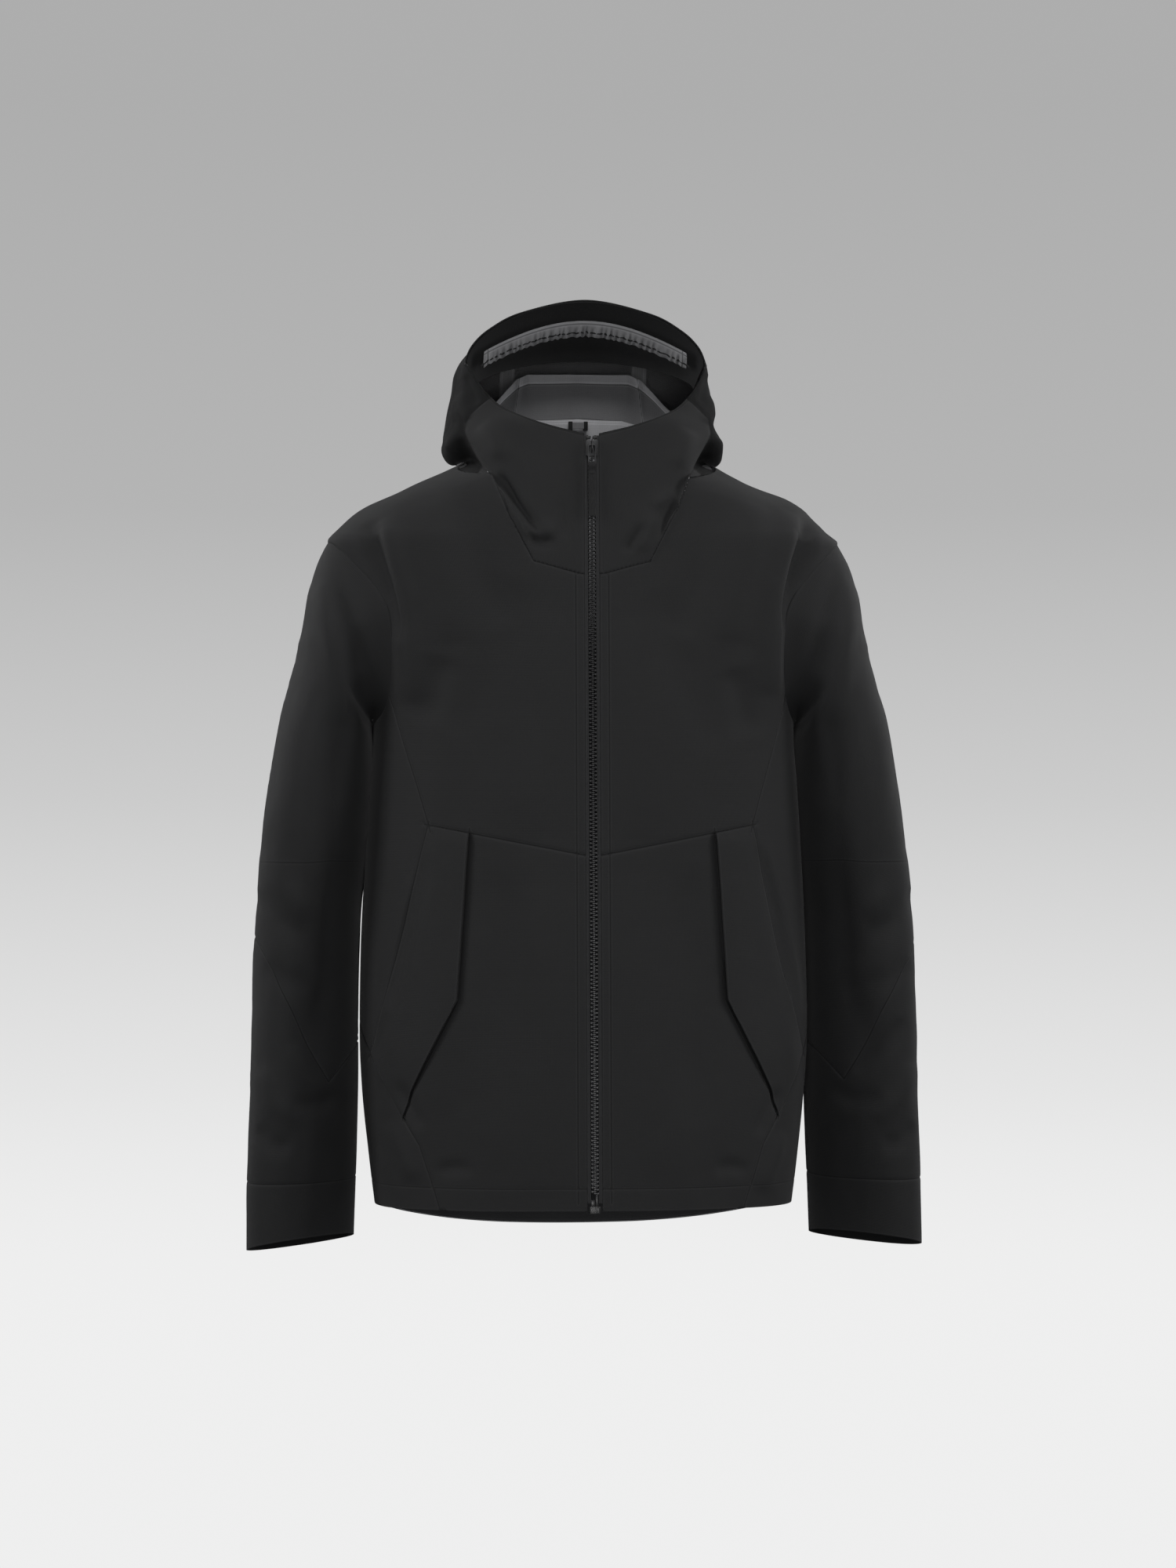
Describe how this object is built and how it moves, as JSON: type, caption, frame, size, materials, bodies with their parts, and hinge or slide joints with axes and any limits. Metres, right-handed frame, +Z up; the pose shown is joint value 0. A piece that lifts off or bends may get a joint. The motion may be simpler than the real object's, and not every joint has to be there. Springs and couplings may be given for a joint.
{
  "type": "hardshell jacket",
  "caption": "Hooded waterproof shell jacket with full front zip, stand-up collar, long sleeves and flapped hand pockets, posed as if worn.",
  "frame": {"origin": "centre of the neck opening, at the height of the back neck seam", "axes": "+Z up, the front of the jacket faces -Y, the wearer's left is +X"},
  "size_m": [0.6054, 0.2812, 0.8531],
  "materials": {
    "shell_fabric": "matte tightly woven nylon face",
    "grey_backer": "matte grey backer",
    "facing_tape": "matte dark facing",
    "zip_tape": "ribbed woven tape",
    "moulded_teeth": "satin moulded",
    "dark_metal": "dark satin",
    "webbing": "fine flat webbing"
  },
  "bodies": {
    "shell": {"back_yoke": "shell_fabric", "back_panel": "shell_fabric", "front_chest_left": "shell_fabric", "front_chest_right": "shell_fabric", "front_lower_left": "shell_fabric", "front_lower_right": "shell_fabric", "side_panel_left": "shell_fabric", "side_panel_right": "shell_fabric", "hem_side_left": "shell_fabric", "hem_side_right": "shell_fabric", "chin_panel_left": "shell_fabric", "chin_panel_right": "shell_fabric", "inner_collar": "grey_backer", "neck_facing": "grey_backer", "zip_tape_left": "zip_tape", "zip_tape_right": "zip_tape", "hem_facing_back": "facing_tape", "hem_facing_left": "facing_tape", "hem_facing_right": "facing_tape", "pocket_bag_left": "facing_tape", "pocket_bag_right": "facing_tape", "zip_chain_left": "moulded_teeth", "zip_chain_right": "moulded_teeth", "zip_top_stop_left": "moulded_teeth", "zip_top_stop_right": "moulded_teeth", "zip_insertion_pin": "moulded_teeth", "zip_retainer_box": "moulded_teeth", "pocket_zip_left": "moulded_teeth", "pocket_zip_right": "moulded_teeth", "hang_loop": "webbing"},
    "hood": {"hood_centre": "shell_fabric", "hood_side_left": "shell_fabric", "hood_side_right": "shell_fabric", "hood_brim": "shell_fabric", "brim_channel": "grey_backer", "brim_cord": "webbing"},
    "zip_slider": {"zip_slider": "dark_metal"},
    "zip_pull": {"zip_pull_link": "dark_metal", "zip_pull_tab": "webbing"},
    "upper_sleeve_left": {"sleeve_upper_left": "shell_fabric"},
    "forearm_left": {"forearm_panel_left": "shell_fabric", "forearm_under_left": "shell_fabric", "cuff_left": "shell_fabric"},
    "pocket_flap_left": {"pocket_flap_left": "shell_fabric"},
    "pocket_slider_left": {"pocket_slider_left": "dark_metal", "pocket_pull_left": "webbing"},
    "upper_sleeve_right": {"sleeve_upper_right": "shell_fabric"},
    "forearm_right": {"forearm_panel_right": "shell_fabric", "forearm_under_right": "shell_fabric", "cuff_right": "shell_fabric"},
    "pocket_flap_right": {"pocket_flap_right": "shell_fabric"},
    "pocket_slider_right": {"pocket_slider_right": "dark_metal", "pocket_pull_right": "webbing"}
  },
  "joints": [
    {"name": "zip_slide", "type": "slide", "parent": "shell", "child": "zip_slider", "axis": [0, -0.0593, -0.9982], "range_m": [0, 0.645]},
    {"name": "zip_pull_swing", "type": "hinge", "parent": "zip_slider", "child": "zip_pull", "pos_m": [0, -0.10286, -0.03893], "axis": [-1, 0, 0], "range_deg": [0, 150]},
    {"name": "hood_tilt", "type": "hinge", "parent": "shell", "child": "hood", "pos_m": [0, 0.082, -0.01], "axis": [-1, 0, 0], "range_deg": [0, 55]},
    {"name": "shoulder_left", "type": "hinge", "parent": "shell", "child": "upper_sleeve_left", "pos_m": [0.2315, 0, -0.117], "axis": [0, -1, 0], "range_deg": [0, 45]},
    {"name": "elbow_left", "type": "hinge", "parent": "upper_sleeve_left", "child": "forearm_left", "pos_m": [0.25, -0.0718, -0.452], "axis": [-1, 0, 0], "range_deg": [0, 60]},
    {"name": "flap_lift_left", "type": "hinge", "parent": "shell", "child": "pocket_flap_left", "pos_m": [0.14606, -0.09753, -0.37255], "axis": [-0.2441, -0.1747, 0.9539], "range_deg": [0, 25]},
    {"name": "pocket_slide_left", "type": "slide", "parent": "shell", "child": "pocket_slider_left", "axis": [0.0607, -0.0323, -0.9976], "range_m": [0, 0.125]},
    {"name": "shoulder_right", "type": "hinge", "parent": "shell", "child": "upper_sleeve_right", "pos_m": [-0.2315, 0, -0.117], "axis": [0, 1, 0], "range_deg": [0, 45]},
    {"name": "elbow_right", "type": "hinge", "parent": "upper_sleeve_right", "child": "forearm_right", "pos_m": [-0.25, -0.0718, -0.452], "axis": [-1, 0, 0], "range_deg": [0, 60]},
    {"name": "flap_lift_right", "type": "hinge", "parent": "shell", "child": "pocket_flap_right", "pos_m": [-0.14606, -0.09753, -0.37255], "axis": [-0.2441, 0.1747, -0.9539], "range_deg": [0, 25]},
    {"name": "pocket_slide_right", "type": "slide", "parent": "shell", "child": "pocket_slider_right", "axis": [-0.0607, -0.0323, -0.9976], "range_m": [0, 0.125]}
  ]
}
